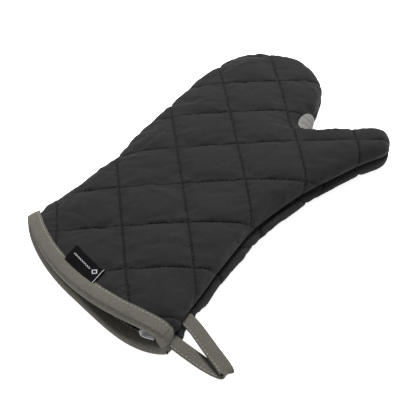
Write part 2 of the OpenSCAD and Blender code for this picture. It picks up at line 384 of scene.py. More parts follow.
def mouth_distance(xy, upper, half):
    """How far plan points lie inside the bowed mouth edge, which reaches half to each side of its middle."""
    rel = xy - MOUTH_MID
    a, b = rel @ ALONG, rel @ OUT
    share = 1 - np.abs(np.clip(a / half, -1, 1))
    return (UPPER_BOW if upper else LOWER_BOW) * bow_share(share, a < 0, upper) - b


def drape(xy, upper, wall, in_mouth):
    """Lays flat cloth over the dome and down its wall into the seam.

    Returns the points, their distance from the seam, the way into the mitt and the place along the outline.
    """
    wall_t, wall_z, spare = wall
    spot, where, _ = nearest_on(xy, OUTLINE_P, False)
    n = unit(between(OUTLINE_N, where))
    plan = ((xy - spot) * n).sum(1)
    extra = between(spare, where)
    from_seam = plan + extra
    whole = between(wall_t[:, -1], where) + extra
    share = np.clip(from_seam / whole, 0, 1)
    t = between(wall_t, where, share)
    z = between(wall_z, where, share)
    near = share < 1
    out = xy.copy()
    out[near] += n[near] * (t - plan)[near, None]
    inside = mouth_distance(out, upper, HALF_MOUTH)
    out += OUT * ((inside - in_mouth) * (1 - smooth(in_mouth, 10 * MM, 45 * MM)))[:, None]
    inside = mouth_distance(out, upper, HALF_MOUTH)
    height = dome_height(out - OUT * np.maximum(0, 0.6 * MM - inside)[:, None], upper)
    mix = smooth(share, 0.45, 1.0)
    z = np.where(near, z * (1 - mix) + height * mix, height)
    return np.concatenate([out, z[:, None]], 1), from_seam, n, where / STEPS


def mesh_object(name, points, faces):
    mesh = bpy.data.meshes.new(name)
    mesh.from_pydata([tuple(p) for p in points], [], [tuple(int(v) for v in f) for f in faces])
    mesh.update()
    piece = bpy.data.objects.new(name, mesh)
    bpy.context.scene.collection.objects.link(piece)
    return piece


def normals_of(points, faces):
    """Vertex normals of a quad mesh, weighted by area."""
    d1 = points[faces[:, 2]] - points[faces[:, 0]]
    d2 = points[faces[:, 3]] - points[faces[:, 1]]
    face_n = np.cross(d1, d2)
    n = np.zeros_like(points)
    for k in range(4):
        np.add.at(n, faces[:, k], face_n)
    return n / np.maximum(np.linalg.norm(n, axis=1, keepdims=True), 1e-12)


def relax(points, pairs, free, rounds, amount):
    """Evens points out along mesh edges."""
    for _ in range(rounds):
        points = points + (neighbour_mean(points, pairs) - points) * (amount * free)[:, None]
    return points


CLOTH_FRAMES = 20


def inflate(points, faces, held, force, growth):
    """Cloth simulation in which the padding pushes the cloth out between the stitched lines."""
    piece = mesh_object("cloth_in_work", points, faces)
    group = piece.vertex_groups.new(name="stitched")
    group.add([int(v) for v in np.nonzero(held)[0]], 1.0, "REPLACE")
    cloth = piece.modifiers.new("cloth", "CLOTH")
    settings = cloth.settings
    settings.quality = 7
    settings.mass = 0.25
    settings.tension_stiffness = settings.compression_stiffness = 18
    settings.shear_stiffness = 6
    settings.bending_stiffness = 0.35
    settings.air_damping = 3
    settings.vertex_group_mass = "stitched"
    settings.pin_stiffness = 1
    settings.shrink_min = -growth
    settings.use_pressure = True
    settings.uniform_pressure_force = force
    settings.effector_weights.gravity = 0
    cloth.collision_settings.use_collision = False
    cloth.point_cache.frame_start = 1
    cloth.point_cache.frame_end = CLOTH_FRAMES
    scene = bpy.context.scene
    for number in range(1, CLOTH_FRAMES + 1):
        scene.frame_set(number)
    evaluated = piece.evaluated_get(bpy.context.evaluated_depsgraph_get())
    moved = np.zeros(len(points) * 3)
    evaluated.data.vertices.foreach_get("co", moved)
    scene.frame_set(1)
    bpy.data.objects.remove(piece)
    return moved.reshape(-1, 3)


def line_distance(lattice):
    """Distance to the nearest quilting line of each direction."""
    return np.abs((lattice + QUILT_PITCH / 2) % QUILT_PITCH - QUILT_PITCH / 2)


CREASES = 260                       # scattered folds in each panel
PUCKER = 0.32 * MM                  # height of the gathers beside the quilting
FORK_FOLD = 0.8 * MM                # height of the folds that run out from the fork of the thumb


def creases(lattice):
    """Small random folds of the cloth: long thin ridges and dents at scattered places."""
    total = np.zeros(len(lattice))
    low, high = lattice.min(0), lattice.max(0)
    for _ in range(CREASES):
        centre = RNG.uniform(low, high)
        turn = RNG.normal(0.25 * math.pi, 0.7)
        length, width = RNG.uniform(7, 24) * MM, RNG.uniform(1.8, 3.2) * MM
        rel = lattice - centre
        along = rel @ (math.cos(turn), math.sin(turn))
        across = rel @ (-math.sin(turn), math.cos(turn)) + RNG.uniform(-9, 9) * along**2
        height = RNG.choice((-1, 1)) * RNG.uniform(0.3, 1.05)
        total += height * np.exp(-((along / length) ** 2) - (across / width) ** 2)
    return total * MM


def puckers(lattice):
    """Short gathers that run away from the quilting lines."""
    total = np.zeros(len(lattice))
    from_line = line_distance(lattice)
    for axis in (0, 1):
        off = from_line[:, axis]
        run = lattice[:, 1 - axis] / MM
        line = np.round(lattice[:, axis] / QUILT_PITCH)
        wave = np.sin(run * 0.83 + line * 2.1) + np.sin(run * 0.51 + line * 1.3) * np.sin(run * 0.11 + line)
        total += wave * np.exp(-off / (5 * MM)) * np.minimum(1, off / (2 * MM))
    return total * PUCKER


def fork_folds(xy):
    """Folds that run out like rays from the fork of the thumb."""
    fork = xy - edge_at(CROTCH)
    turn = np.arctan2(fork[:, 1], fork[:, 0])
    far = np.hypot(*fork.T)
    rays = np.sin(turn * 13 + 2 * np.sin(turn * 5))
    return FORK_FOLD * rays * np.exp(-far / (24 * MM)) * smooth(far, 8 * MM, 16 * MM)


PUFF_DEPTH = 1.3 * MM               # how far the quilting pulls the shell below the dome
UNDER_BINDING = 0.9 * MM            # the binding presses the panel's edge this much flatter
PUFF = 1.7 * MM                     # how far each quilted square swells before the cloth settles
MOST_RISE = 3.5 * MM                # the furthest the padding may push the cloth out
MOST_PRESSED = 1.3 * MM             # and the furthest the cloth may press into it
PRESSURE = {True: 4.0, False: 3.5}  # push of the padding on the upper and the lower panel
GROWTH = {True: 0.012, False: 0.010}  # share by which the cloth is cut too large
GUARD_MIDDLE = 9.06                 # the web guard's middle and half length, in outline points
GUARD_HALF = 1.1
MOUTH_HELD = 11 * MM                # the cloth is held this far in from the mouth edge
SEAM_HELD = 3 * MM                  # and this far in from the side seam
PINCH = 1.0 * MM                    # how deep the quilting stitches pinch the cloth
INNER_TRIM = 3.6 * MM               # the wadding and the lining end this far inside the mouth edge
LINING_T = 0.7 * MM
TABLE_GAP = 0.25 * MM               # the lowest the cloth comes to the table


def settle(start, faces, held, up, upper):
    """Swells the cloth between its stitches, no further than the wadding allows."""
    move = inflate(start, faces, held, PRESSURE[upper], GROWTH[upper]) - start
    size = np.linalg.norm(move, axis=1, keepdims=True)
    move *= np.minimum(1, MOST_RISE / np.maximum(size, 1e-9))
    pressed = np.minimum(0, (move * up).sum(1))
    move += up * (MOST_PRESSED * np.tanh(pressed / MOST_PRESSED) - pressed)[:, None]
    return start + move


def make_panel(upper):
    """All of one panel's layers: shell, wadding and lining, from one quilted cloth."""
    name = "upper" if upper else "lower"
    xy, lattice, faces, wall, wide = cut_panel(upper)
    if not upper:
        faces = faces[:, ::-1]
    flat_area = sum_area(xy, faces)
    in_mouth = mouth_distance(xy, upper, wide)
    base, from_seam, inward, along = drape(xy, upper, wall, in_mouth)
    rim, pairs = border_vertices(faces)
    free = np.ones(len(base))
    free[rim] = 0
    base = relax(base, pairs, free * smooth(from_seam, 3 * MM, 9 * MM), 6, 0.5)
    nearest = line_distance(lattice).min(1)
    up = normals_of(base, faces)
    depth = PUFF_DEPTH * smooth(from_seam, 6 * MM, 28 * MM)
    at_mouth = 1 - smooth(in_mouth, MOUTH_HELD, 2 * MOUTH_HELD)
    at_corner = 1 - smooth(from_seam, 12 * MM, 30 * MM)
    depth = depth * (1 - at_mouth) + UNDER_BINDING * (1 + 1.4 * at_corner) * at_mouth
    under_guard = np.exp(-(((along - GUARD_MIDDLE) / (GUARD_HALF + 0.2)) ** 6))
    under_guard *= 1 - smooth(from_seam, 14 * MM, 22 * MM)
    depth = depth * (1 - under_guard) + 1.1 * MM * under_guard
    swell = PUFF * (np.abs(np.sin(math.pi * lattice / QUILT_PITCH)).prod(1)) ** 0.45
    swell *= smooth(from_seam, 1 * MM, 8 * MM) * smooth(in_mouth, MOUTH_HELD, 24 * MM) * (1 - under_guard)
    start = base + up * (swell - depth)[:, None]
    held = (nearest < 0.3 * CELL) | (from_seam < SEAM_HELD) | (in_mouth < MOUTH_HELD)
    held |= under_guard > 0.6
    held[rim] = True
    outer = settle(start, faces, held, up, upper)
    fold = (creases(lattice) + puckers(lattice) + fork_folds(base[:, :2])) * (1 - under_guard)
    fold *= smooth(from_seam, 4 * MM, 14 * MM) * smooth(in_mouth, 10 * MM, 18 * MM)
    # the stitches pinch a narrow channel
    inland = smooth(from_seam, 5 * MM, 24 * MM) * smooth(in_mouth, 9 * MM, 16 * MM)
    pinch = (0.25 + 0.75 * inland) * PINCH * np.exp(-nearest / (1.3 * MM)) * smooth(from_seam, 2 * MM, 8 * MM)
    outer = outer + up * (fold - pinch)[:, None]
    low, high = SEAM_Z - SEAM_GAP / 2, SEAM_Z + SEAM_GAP / 2
    outer[:, 2] = np.maximum(outer[:, 2], high) if upper else np.clip(outer[:, 2], TABLE_GAP, low)
    # inner layers leave out the cloth that turns into the seam
    inner_ok = (from_seam > TURN_IN) & (in_mouth > INNER_TRIM)
    inner_faces = faces[inner_ok[faces].all(1)]
    used, inner_faces = np.unique(inner_faces, return_inverse=True)
    inner_faces = inner_faces.reshape(-1, 4)
    side = 1 - smooth(from_seam, 3 * MM, 20 * MM)
    way = -up * (1 - side)[:, None]
    way[:, :2] += inward * side[:, None]
    way = unit(way)
    raised = 1.0 * MM * np.exp(-((nearest / (7 * MM)) ** 2)) * smooth(from_seam, 6 * MM, 14 * MM)
    lining_out = base + way * (PANEL_T - LINING_T - raised)[:, None]
    lining_in = base + way * (PANEL_T - raised)[:, None]
    normals = normals_of(outer, faces)
    shell_in = outer - normals * (SHELL_T + 0.15 * MM)
    for layer in (lining_out, lining_in, shell_in):
        layer[:, 2] = np.maximum(layer[:, 2], high) if upper else np.minimum(layer[:, 2], low)
    shell = cloth_piece(name + "_quilted_shell", outer, faces, lattice, SHELL_T)
    wadding_in = lining_out[used] - (lining_in - lining_out)[used] * 0.1
    wadding = solid_between(name + "_wadding", shell_in[used], wadding_in, inner_faces)
    lining = solid_between(name + "_cotton_lining", lining_out[used], lining_in[used], inner_faces)
    add_uv(lining, np.tile(lattice[used], (2, 1)))
    return {"shell": shell, "wadding": wadding, "lining": lining, "area": flat_area, "points": outer,
            "faces": faces, "normals": normals, "lattice": lattice, "from_seam": from_seam,
            "in_mouth": in_mouth}


def sum_area(xy, faces):
    p = xy[faces]
    d1, d2 = p[:, 2] - p[:, 0], p[:, 3] - p[:, 1]
    return float(np.abs(d1[:, 0] * d2[:, 1] - d1[:, 1] * d2[:, 0]).sum() / 2)


def add_uv(piece, uv):
    """A UV map in metres of flat cloth, so that a weave follows the cut."""
    layer = piece.data.uv_layers.new(name="cloth")
    corner = np.zeros(len(piece.data.loops), int)
    piece.data.loops.foreach_get("vertex_index", corner)
    layer.data.foreach_set("uv", np.asarray(uv, float)[corner].ravel())


def select_only(piece):
    bpy.ops.object.select_all(action="DESELECT")
    piece.select_set(True)
    bpy.context.view_layer.objects.active = piece


def shade(piece, angle=60):
    """Smooth shading, but sharp where faces meet at more than the angle."""
    select_only(piece)
    bpy.ops.object.shade_smooth_by_angle(angle=math.radians(angle))


def cloth_piece(name, points, faces, uv, thick):
    """A thin sheet with its outer face on the given points."""
    piece = mesh_object(name, points, faces)
    add_uv(piece, uv)
    solid = piece.modifiers.new("thickness", "SOLIDIFY")
    solid.thickness = thick
    solid.offset = -1
    select_only(piece)
    bpy.ops.object.modifier_apply(modifier="thickness")
    shade(piece)
    return piece


def solid_between(name, outer, inner, faces):
    """A closed solid between two layers of points with the same faces."""
    n = len(outer)
    edges = edges_of(faces)
    _, first, uses = np.unique(np.sort(edges, axis=1), axis=0, return_index=True, return_counts=True)
    rim = edges[first[uses == 1]]
    walls = np.stack([rim[:, 1], rim[:, 0], rim[:, 0] + n, rim[:, 1] + n], 1)
    all_faces = np.concatenate([faces, faces[:, ::-1] + n, walls])
    piece = mesh_object(name, np.concatenate([outer, inner]), all_faces)
    shade(piece)
    return piece


# ---------------------------------------------------------------- strips of tape and labels
def strip(name, grid, thick, flip=False):
    """A strip of cloth with its outer face on a grid of points: the piece, and its flat width and length."""
    rows, columns = grid.shape[:2]
    run = along_row(grid[:, columns // 2])
    across = along_row(grid[rows // 2])
    uv = np.stack(np.meshgrid(run, across, indexing="ij"), -1).reshape(-1, 2)
    faces = grid_faces(rows, columns)
    if flip:
        faces = faces[:, ::-1]
    return cloth_piece(name, grid.reshape(-1, 3), faces, uv, thick), (float(across[-1]), float(run[-1]))


def spline(points, per_span):
    """A smooth curve through given points."""
    p = np.vstack([2 * points[0] - points[1], points, 2 * points[-1] - points[-2]])
    t = (np.arange(per_span) / per_span)[:, None]
    rows = [curve(*p[k - 1:k + 3], t) for k in range(1, len(points))]
    return np.vstack(rows + [points[-1:]])


def from_mouth(corner, u, back, depth, upper):
    """Points a distance back from the mouth edge. Corner is 0 on the thumb side, LAST on the far side."""
    way = 1 if corner == 0 else -1
    step = 0.1
    speed = skin(corner + way * step, u, 0.0, upper) - skin(corner, u, 0.0, upper)
    speed = np.linalg.norm(speed, axis=-1) / step
    c = corner + way * np.maximum(back, 0) / speed
    point = skin(c, u, depth, upper)
    edge = skin(np.full_like(c, corner), u, depth, upper)
    behind = skin(corner + way * 3 * MM / speed, u, depth, upper)
    return point + unit(edge - behind) * np.maximum(-np.asarray(back, float), 0)[..., None]


def even_shares(corner, upper, step):
    """Shares u from the corner to the middle of the mouth, evenly spaced along the edge."""
    u = np.linspace(0, 1, 1500) ** 3
    arc = along_row(skin(np.full_like(u, corner), u, 0.0, upper))
    return np.interp(np.linspace(0, arc[-1], int(arc[-1] / step)), arc, u)


# ---------------------------------------------------------------- stitches
# Length of each stitch and the gap after it
QUILT_STITCH = (3.1 * MM, 0.9 * MM)
BINDING_STITCH = (2.5 * MM, 0.9 * MM)
LOOP_STITCH = (2.4 * MM, 0.9 * MM)
GUARD_STITCH = (1.9 * MM, 0.7 * MM)
SEAM_STITCH = (2.6 * MM, 0.5 * MM)
# Thickness of their threads
QUILT_THREAD = 0.62 * MM
BINDING_THREAD = 0.7 * MM
LOOP_THREAD = 0.6 * MM
GUARD_THREAD = 0.6 * MM
SEAM_THREAD = 0.9 * MM


def model_stitch():
    """One stitch, modelled once: a thread with rounded ends along X, three units long and one thick."""
    bpy.ops.object.select_all(action="DESELECT")
    bpy.ops.mesh.primitive_uv_sphere_add(segments=8, ring_count=6, radius=0.5, rotation=(0, math.pi / 2, 0))
    bpy.ops.object.transform_apply(rotation=True)
    stitch = bpy.context.object
    for side in (-1, 1):
        bpy.ops.object.mode_set(mode="EDIT")
        bpy.ops.mesh.select_all(action="DESELECT")
        bpy.ops.object.mode_set(mode="OBJECT")
        for vertex in stitch.data.vertices:
            vertex.select = vertex.co.x * side > 0.01
        bpy.ops.object.mode_set(mode="EDIT")
        bpy.ops.transform.translate(value=(side * 1.0, 0, 0))
        bpy.ops.object.mode_set(mode="OBJECT")
    points = np.array([v.co for v in stitch.data.vertices]) / (3, 1, 1)
    faces = [tuple(face.vertices) for face in stitch.data.polygons]
    bpy.data.objects.remove(stitch)
    return points, faces


STITCH_POINTS, STITCH_FACES = model_stitch()


def stitch_places(path, ups, length, gap):
    """Start, end and up vector of each stitch along a sewn line."""
    arc = along_row(path)
    count = int(round(arc[-1] / (length + gap)))
    if count < 1:
        return np.zeros((0, 9))
    middle = (np.arange(count) + 0.5) * arc[-1] / count
    spots = [np.stack([np.interp(middle + side * length / 2, arc, path[:, k]) for k in range(3)], 1)
             for side in (-1, 1)]
    up = np.stack([np.interp(middle, arc, ups[:, k]) for k in range(3)], 1)
    return np.concatenate(spots + [up], 1)


def lay_stitches(name, places, thick, dive=0.5):
    """Copies of the modelled stitch at every place, arched so that their ends go into the cloth."""
    places = np.vstack(places)
    start, end, up = places[:, 0:3], places[:, 3:6], places[:, 6:9]
    along = end - start
    side = unit(np.cross(up, along))
    up = unit(np.cross(along, side))
    x, y, z = STITCH_POINTS.T
    z = z - dive * (2 * x) ** 2
    points = ((start + end) / 2)[:, None] + along[:, None] * x[:, None] \
        + (side[:, None] * y[:, None] + up[:, None] * z[:, None]) * thick
    size = len(STITCH_POINTS)
    faces = [tuple(v + k * size for v in face) for k in range(len(places)) for face in STITCH_FACES]
    piece = mesh_object(name, points.reshape(-1, 3), faces)
    shade(piece, 80)
    return piece


def quilting_stitches(panel, name):
    """Stitches along every quilting line of a panel, lying in its groove."""
    lattice, points, normals = panel["lattice"], panel["points"], panel["normals"]
    clear = (panel["from_seam"] > 3.2 * MM) & (panel["in_mouth"] > 9 * MM)
    places = []
    for axis in (0, 1):
        number = np.round(lattice[:, axis] / QUILT_PITCH)
        on_line = (np.abs(lattice[:, axis] - number * QUILT_PITCH) < 0.1 * CELL) & clear
        for line in np.unique(number[on_line]):
            row = np.nonzero(on_line & (number == line))[0]
            row = row[np.argsort(lattice[row, 1 - axis])]
            breaks = np.nonzero(np.diff(lattice[row, 1 - axis]) > 1.5 * CELL)[0] + 1
            for part in np.split(row, breaks):
                if len(part) > 3:
                    sewn = points[part] + normals[part] * 0.12 * MM
                    places.append(stitch_places(sewn, normals[part], *QUILT_STITCH))
    return lay_stitches(name, places, QUILT_THREAD)


# ---------------------------------------------------------------- the bound mouth
LAP = 9 * MM                        # the tape's end laps over its start at the thumb-side corner
TAPE_STEP = 2.6 * MM


def binding_rows():
    """The way of the tape round the mouth: rows of corner, share, layer and how far the lap lifts it."""
    rows = []
    quarters = ((0, True, True), (LAST, True, False), (LAST, False, True), (0, False, False))
    for corner, upper, outward in quarters:
        u = even_shares(corner, upper, TAPE_STEP)
        for value in (u if outward else u[::-1])[1:]:
            rows.append((corner, value, upper, 0.0))
    lap = even_shares(0, True, TAPE_STEP)[: int(LAP / TAPE_STEP) + 1]
    lifts = np.minimum(1, np.arange(1, len(lap) + 1) / 2) * 0.85 * MM
    return rows + [(0, value, True, lift) for value, lift in zip(lap, lifts)]


def make_binding():
    """The folded tape: outer leg, round fold over the edge, inner leg on the lining."""
    outer = [(12.2, 0.55), (11.4, 0.1), (10.8, 0.12), (10.2, 0.42), (9.6, 0.1), (8, -0.12), (6, -0.25),
             (4, -0.28), (2, -0.2), (0.6, 0.0)]
    thick = PANEL_T / MM + 1.0
    angles = np.linspace(0, math.pi, 9)[1:-1]
    fold = [(0.6 - 2.0 * math.sin(a), thick / 2 * (1 - math.cos(a)) - 0.1) for a in angles]
    inner = [(0.6, thick), (2, thick + 0.1), (5, thick + 0.15), (8, thick + 0.05), (9.6, thick - 0.2),
             (10.2, thick - 0.35), (10.8, thick - 0.2), (12, thick - 0.4)]
    section = np.array(outer + fold + inner) * MM
    rows = binding_rows()
    waver = np.convolve(RNG.normal(size=len(rows) + 12), np.ones(13) / 13, "valid") * 0.9 * MM
    sign = np.where(np.arange(len(section)) < len(outer) + len(fold) // 2, -1, 1)
    grid = []
    for number, (corner, u, upper, lift) in enumerate(rows):
        back = section[:, 0] + waver[number] * smooth(section[:, 0], 6 * MM, 12 * MM)
        pucker = 0.10 * MM * math.sin(number * 2.4) * smooth(section[:, 0], 5 * MM, 11 * MM)
        depth = section[:, 1] + sign * (lift + pucker)
        grid.append(from_mouth(corner, np.full(len(section), u), back, depth, upper))
    grid = np.array(grid)
    piece, flat = strip("mouth_binding_tape", grid, BINDING_T, flip=True)
    quads = grid_faces(*grid.shape[:2])[:, ::-1]
    normals = normals_of(grid.reshape(-1, 3), quads).reshape(grid.shape)
    places = []
    for column in (3, len(section) - 3):
        ups = normals[:, column]
        places.append(stitch_places(grid[:, column] + ups * 0.14 * MM, ups, *BINDING_STITCH))
    return piece, flat, lay_stitches("binding_topstitch", places, BINDING_THREAD)


# ---------------------------------------------------------------- the hanging loop
LOOP_ROUTE = in_frame([(56.5, -146.4), (59.7, -147.2), (69, -149.8), (79, -153), (89, -156.2), (98, -159.2),
                       (105, -161.8), (109, -163.6), (110.7, -164.5), (108, -165.3), (101, -166.2),
                       (91, -166.9), (81, -167.7), (73, -168.6), (66, -169.4), (62.5, -169.8)])
LOOP_HEIGHT = np.array([12, 12, 11.6, 9.4, 6.8, 5, 4, 3.2, 2.2, 1.1, 0.9, 1.8, 4.2, 6.8, 9.4, 11]) * MM
LOOP_TURN = [-76, -80, -96, -108, -108, -108, -106, -99, -94, -89, -86, -85, -85, -84, -80, -77]
LOOP_T = 1.6 * MM


def make_loop():
    """Tape folded double and stitched along one edge, swept from the seam round the tip and back."""
    route = np.column_stack([LOOP_ROUTE, LOOP_HEIGHT])
    line = spline(route, 10)
    turn = np.radians(np.interp(np.linspace(0, len(route) - 1, len(line)), np.arange(len(route)), LOOP_TURN))
    wide = np.stack([np.cos(turn), np.sin(turn), 0 * turn], 1)
    ahead = unit(np.gradient(line, axis=0))
    wide = unit(wide - ahead * (wide * ahead).sum(1, keepdims=True))
    up = unit(np.cross(ahead, wide))
    up = np.where(up[:1, 2:] > 0, up, -up)
    half, t = LOOP_W / 2, LOOP_T / 2
    # across the tape: a round fold on one edge, a stitched hollow and two layers on the other
    shape = np.array([(-1.0, 0.0), (-0.985, 0.55), (-0.93, 0.9), (-0.8, 1.0), (-0.4, 0.92), (0.0, 0.88),
                      (0.4, 0.92), (0.66, 0.86), (0.76, 0.62), (0.86, 0.84), (0.95, 0.9), (1.0, 0.72),
                      (1.0, 0.2), (0.94, 0.05)])
    under = shape[1:-1][::-1] * (1, -1)
    ring = np.vstack([shape, [(0.94, -0.05)], under])
    grid = line[:, None] + wide[:, None] * (ring[:, :1] * half) + up[:, None] * (ring[:, 1:] * t)
    grid[..., 2] = np.maximum(grid[..., 2], 0.2 * MM)
    rows, columns = grid.shape[:2]
    faces = [tuple(face) for face in grid_faces(rows, columns, around=True)[:, ::-1]]
    faces += [tuple(range(columns)), tuple((rows - 1) * columns + k for k in range(columns))[::-1]]
    piece = mesh_object("hanging_loop_tape", grid.reshape(-1, 3), faces)
    select_only(piece)
    bpy.ops.object.mode_set(mode="EDIT")
    bpy.ops.mesh.select_all(action="SELECT")
    bpy.ops.mesh.normals_make_consistent(inside=False)
    bpy.ops.object.mode_set(mode="OBJECT")
    run = along_row(line)
    uv = np.stack([np.repeat(run, columns), np.tile(ring[:, 0] * half, rows)], 1)
    add_uv(piece, uv)
    shade(piece, 50)
    inside = slice(8, -8)               # no stitches where the ends go into the seam
    places = []
    for sign in (1, -1):
        row = line + wide * (0.76 * half) + up * (sign * 0.68 * t)
        places.append(stitch_places(row[inside], (up * sign)[inside], *LOOP_STITCH))
    return piece, float(run[-1]), lay_stitches("loop_edge_stitch", places, LOOP_THREAD)


# ---------------------------------------------------------------- labels
LABEL_SPAN = (0.85, 1.265)          # share across the mouth: above 1 is past the middle, on the thumb side


def make_cuff_label(panel):
    """A folded woven label from under the binding, lying on the quilted cloth."""
    cloth = surface(panel["points"], panel["faces"])
    u = np.linspace(*LABEL_SPAN, 40)
    back = np.linspace(9.8 * MM, 24.8 * MM, 14)
    backs = back[None, :] + 0 * u[:, None]
    sides = [from_mouth(corner, np.minimum(way, 1)[:, None] + 0 * back, backs, -0.2 * MM, True)
             for corner, way in ((LAST, u), (0, 2 - u))]
    grid = np.where((u <= 1)[:, None, None], *sides)[::-1]
    rise_of = np.zeros(grid.shape[:2])
    for j, k in np.ndindex(*rise_of.shape):
        hit = cloth.ray_cast(Vector(grid[j, k]) + Vector((0, 0, 0.03)), (0, 0, -1))[0]
        rise_of[j, k] = (hit.z if hit else grid[j, k, 2]) + 0.55 * MM
    free = smooth(back, 11.5 * MM, 13.5 * MM)
    even = rise_of.copy()
    for _ in range(12):
        padded = np.pad(even, 1, mode="edge")
        beside = padded[2:, 1:-1] + padded[:-2, 1:-1] + padded[1:-1, 2:] + padded[1:-1, :-2]
        even = np.maximum(rise_of, 0.25 * beside)
    at_ends = np.abs(np.linspace(-1, 1, len(u))) ** 4
    curl = 0.7 * MM * at_ends[:, None] * smooth(back, 15 * MM, 25 * MM)[None, :]
    tucked = grid[..., 2] - 0.6 * MM
    grid[..., 2] = tucked * (1 - free) + (even + curl) * free
    return strip("cuff_woven_label", grid, 0.5 * MM, flip=True)


def make_care_label():
    """A satin label caught in the side seam, curling down inside the mouth."""
    u = np.linspace(0.012, 0.135, 26)
    back = np.linspace(-2.0 * MM, 24 * MM, 24)
    across = np.linspace(0, 1, len(u))
    droop = 4.2 * MM * np.sin(math.pi * across**0.75) ** 1.3
    depth = PANEL_T + 1.6 * MM + droop[:, None] * (1 - smooth(back, 0.5 * MM, 11 * MM))[None, :]
    grid = from_mouth(0, u[:, None] + 0 * depth, back[None, :] + 0 * depth, depth, True)
    return strip("care_satin_label", grid, 0.3 * MM)


# ---------------------------------------------------------------- the web guard and the edge seam
GUARD_WIDE = 0.145                   # share of the way to the ridge that the guard covers at its middle


def make_guard():
    """A gathered lens of grey cloth over the seam in the fork of the thumb, sewn down round its outline."""
    c = np.linspace(GUARD_MIDDLE - GUARD_HALF, GUARD_MIDDLE + GUARD_HALF, 56)
    w = np.linspace(-1, 1, 33)
    lens = np.sin((c - c[0]) / (c[-1] - c[0]) * math.pi)
    share = 0.004 + GUARD_WIDE * np.maximum(lens, 0) ** 0.8
    pleat = np.sin(c * 24 + 1.3 * np.sin(c * 9)) * 0.8 * MM * lens
    grid = np.zeros((len(c), len(w), 3))
    for upper in (True, False):
        side = w >= 0 if upper else w < 0
        reach = np.abs(w[side]) ** 1.6
        body = 1 - np.abs(w[side]) ** 4
        depth = -0.35 * MM - (0.5 * MM * lens[:, None] + pleat[:, None]) * body[None, :]
        depth = depth + 0.25 * MM * (1 - body)[None, :]
        lower_share = 1.0 if upper else 0.30
        shares = share[:, None] * reach[None, :] * lower_share
        grid[:, side] = skin(c[:, None] + 0 * depth, shares, depth, upper)
    middle = len(w) // 2
    for _ in range(3):
        band = slice(middle - 3, middle + 4)
        beside = grid[:, middle - 4:middle + 3] + grid[:, middle - 2:middle + 5]
        grid[:, band] = 0.5 * grid[:, band] + 0.25 * beside
    piece = strip("web_guard_patch", grid, 0.6 * MM)[0]
    ups = normals_of(grid.reshape(-1, 3), grid_faces(*grid.shape[:2])).reshape(grid.shape)
    places = [stitch_places(grid[:, k] + ups[:, k] * 0.1 * MM, ups[:, k], *GUARD_STITCH)
              for k in (1, len(w) - 2)]
    cross = np.cross(grid[1:, 1:] - grid[:-1, :-1], grid[1:, :-1] - grid[:-1, 1:])
    area = float(np.linalg.norm(cross, axis=-1).sum() / 2)
    return piece, area, lay_stitches("web_guard_stitches", places, GUARD_THREAD)


def make_edge_seam():
    """The lockstitch that joins the panels, deep between their turned-in edges."""
    c = np.linspace(0.03, LAST - 0.03, 900)
    inset = edge_at(c) + inward_at(c) * 2.4 * MM
    path = np.column_stack([inset, np.full(len(c), SEAM_Z)])
    ups = np.column_stack([-inward_at(c), np.zeros(len(c))])
    return lay_stitches("edge_seam_stitches", [stitch_places(path, ups, *SEAM_STITCH)], SEAM_THREAD, dive=0.2)


# ---------------------------------------------------------------- materials
WAVE_SCALE = math.pi / 10           # a wave texture's scale that gives one band to a metre


def add_node(tree, kind, inputs=(), **fields):
    made = tree.nodes.new(kind)
    for key, value in fields.items():
        setattr(made, key, value)
    for key, value in dict(inputs).items():
        if isinstance(value, bpy.types.NodeSocket):
            tree.links.new(value, made.inputs[key])
        else:
            made.inputs[key].default_value = value
    return made


def math_node(tree, operation, a, b=0.0, clamp=False):
    return add_node(tree, "ShaderNodeMath", {0: a, 1: b}, operation=operation, use_clamp=clamp).outputs[0]


def mix_node(tree, share, low, high):
    return add_node(tree, "ShaderNodeMix", {0: share, 6: low, 7: high}, data_type="RGBA").outputs[2]


def noise(tree, place, scale, detail, distortion=0.0):
    inputs = {"Vector": place, "Scale": scale, "Detail": detail, "Distortion": distortion}
    return add_node(tree, "ShaderNodeTexNoise", inputs).outputs["Fac"]


def waves(tree, place, scale, way, **more):
    """Straight bands across one direction. More gives further inputs by name."""
    inputs = {"Vector": place, "Scale": scale} | {key.replace("_", " ").title(): more[key] for key in more}
    return add_node(tree, "ShaderNodeTexWave", inputs, bands_direction=way).outputs["Fac"]


def map_range(tree, value, low, high):
    """Goes evenly from 0 where the value is low to 1 where it is high."""
    inputs = {"Value": value, "From Min": low, "From Max": high}
    return add_node(tree, "ShaderNodeMapRange", inputs).outputs[0]


def cloth_uv(tree):
    return add_node(tree, "ShaderNodeUVMap", uv_map="cloth").outputs[0]


def object_place(tree):
    return add_node(tree, "ShaderNodeTexCoord").outputs["Object"]


def dress(tree, shader, paint, height, relief, strength):
    """Gives a shader its colour and its relief."""
    tree.links.new(paint, shader.inputs["Base Color"])
    inputs = {"Height": height, "Distance": relief, "Strength": strength}
    tree.links.new(add_node(tree, "ShaderNodeBump", inputs).outputs[0], shader.inputs["Normal"])


def blank_material(name, rough, sheen, gloss):
    mat = bpy.data.materials.new(name)
    mat.use_nodes = True
    shader = mat.node_tree.nodes["Principled BSDF"]
    shader.inputs["Roughness"].default_value = rough
    shader.inputs["Sheen Weight"].default_value = sheen
    shader.inputs["Sheen Roughness"].default_value = 0.5
    shader.inputs["Specular IOR Level"].default_value = gloss
    return mat, mat.node_tree, shader


def tinted(tree, colour, low, high, share):
    """The colour between its low and high multiples, by a share from 0 to 1."""
    ends = [(*(min(1, part * level) for part in colour), 1) for level in (low, high)]
    return mix_node(tree, share, *ends)


